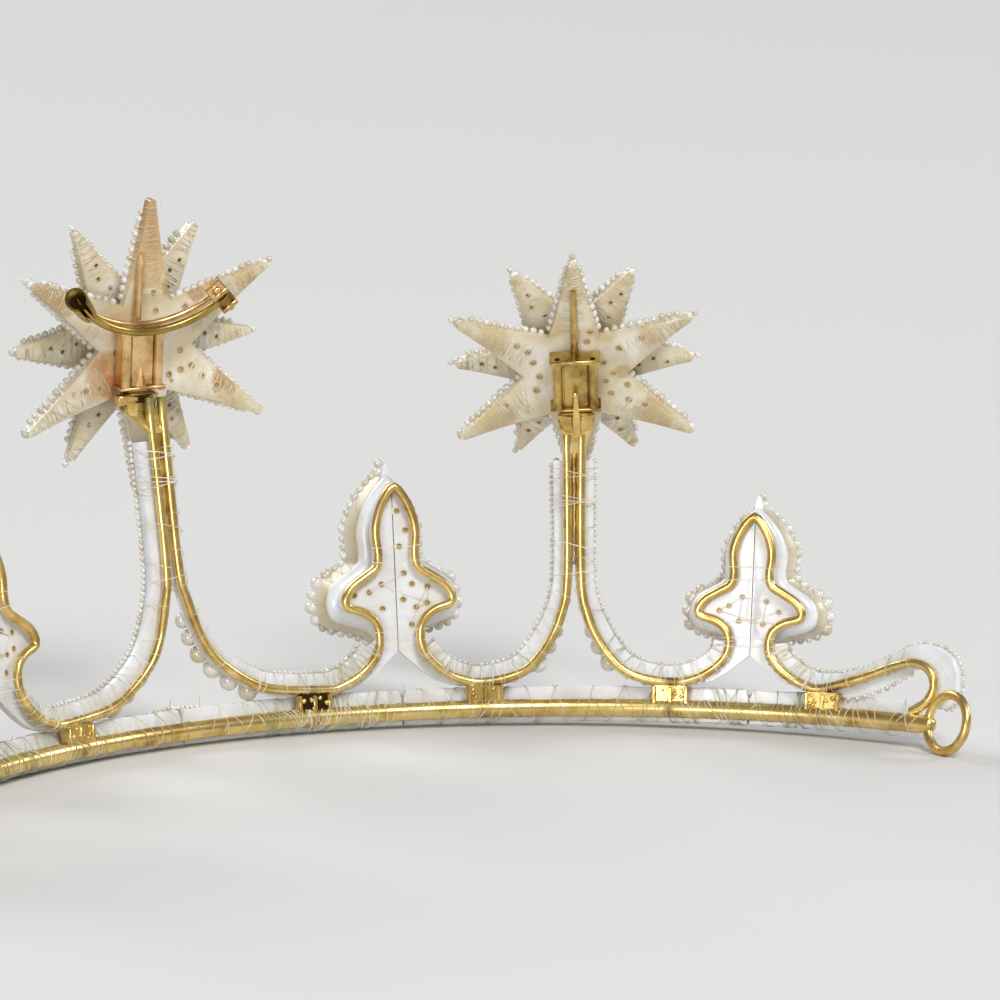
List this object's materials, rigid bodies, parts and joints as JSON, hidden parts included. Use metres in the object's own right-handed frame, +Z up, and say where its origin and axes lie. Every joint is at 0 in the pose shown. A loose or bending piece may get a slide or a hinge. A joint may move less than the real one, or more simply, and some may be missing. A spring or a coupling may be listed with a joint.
{
  "type": "tiara",
  "caption": "Openwork tiara of bent gold wire faced with mother-of-pearl, with pearl stars on posts that lift off and trefoil leaves between them; the middle star is also a brooch.",
  "frame": {"origin": "middle of the underside of the whole tiara's box, on the surface it stands on", "axes": "+X to the wearer's left, which is the right seen from the front; -Y out of the tiara's front; +Z up"},
  "size_m": [0.154, 0.074, 0.0639],
  "materials": {
    "gold": "old polished gold wire, rubbed and lightly tarnished",
    "mother_of_pearl": "carved shell, satin with a soft sheen",
    "pearl": "lustrous natural pearl"
  },
  "bodies": {
    "frame": {"gold_frame": "gold", "rail_strip_left_1": "mother_of_pearl", "rail_strip_left_2": "mother_of_pearl", "rail_strip_left_3": "mother_of_pearl", "rail_strip_right_1": "mother_of_pearl", "rail_strip_right_2": "mother_of_pearl", "rail_strip_right_3": "mother_of_pearl", "bay_strip_left_1": "mother_of_pearl", "bay_strip_left_2": "mother_of_pearl", "bay_strip_left_3": "mother_of_pearl", "bay_strip_left_4": "mother_of_pearl", "bay_strip_right_1": "mother_of_pearl", "bay_strip_right_2": "mother_of_pearl", "bay_strip_right_3": "mother_of_pearl", "bay_strip_right_4": "mother_of_pearl", "fleur_plate_left_inner": "mother_of_pearl", "fleur_plate_left_outer": "mother_of_pearl", "fleur_plate_right_inner": "mother_of_pearl", "fleur_plate_right_outer": "mother_of_pearl", "fleur_front_left_inner": "mother_of_pearl", "fleur_front_left_outer": "mother_of_pearl", "fleur_front_right_inner": "mother_of_pearl", "fleur_front_right_outer": "mother_of_pearl", "pearl_string_left_left": "pearl", "pearl_string_left_right": "pearl", "pearl_string_centre_left": "pearl", "pearl_string_centre_right": "pearl", "pearl_string_right_left": "pearl", "pearl_string_right_right": "pearl"},
    "star_left": {"star_plate_left": "mother_of_pearl", "star_front_left": "mother_of_pearl", "star_socket_left": "gold", "star_pearl_left": "pearl"},
    "star_centre": {"star_plate_centre": "mother_of_pearl", "star_front_centre": "mother_of_pearl", "star_socket_centre": "gold", "star_pearl_centre": "pearl", "brooch_bar": "gold"},
    "star_right": {"star_plate_right": "mother_of_pearl", "star_front_right": "mother_of_pearl", "star_socket_right": "gold", "star_pearl_right": "pearl"},
    "pin": {"brooch_pin": "gold"}
  },
  "joints": [
    {"name": "star_left_lift", "type": "slide", "parent": "frame", "child": "star_left", "axis": [0.2811, 0.2921, 0.9142], "range_m": [0, 0.005]},
    {"name": "star_centre_lift", "type": "slide", "parent": "frame", "child": "star_centre", "axis": [0.0344, 0.0805, 0.9962], "range_m": [0, 0.005]},
    {"name": "star_right_lift", "type": "slide", "parent": "frame", "child": "star_right", "axis": [-0.2811, 0.2921, 0.9142], "range_m": [0, 0.005]},
    {"name": "brooch_pin_swing", "type": "hinge", "parent": "star_centre", "child": "pin", "pos_m": [-0.00651, -0.02072, 0.05208], "axis": [0.7473, 0.2133, 0.6293], "range_deg": [0, 100]}
  ]
}
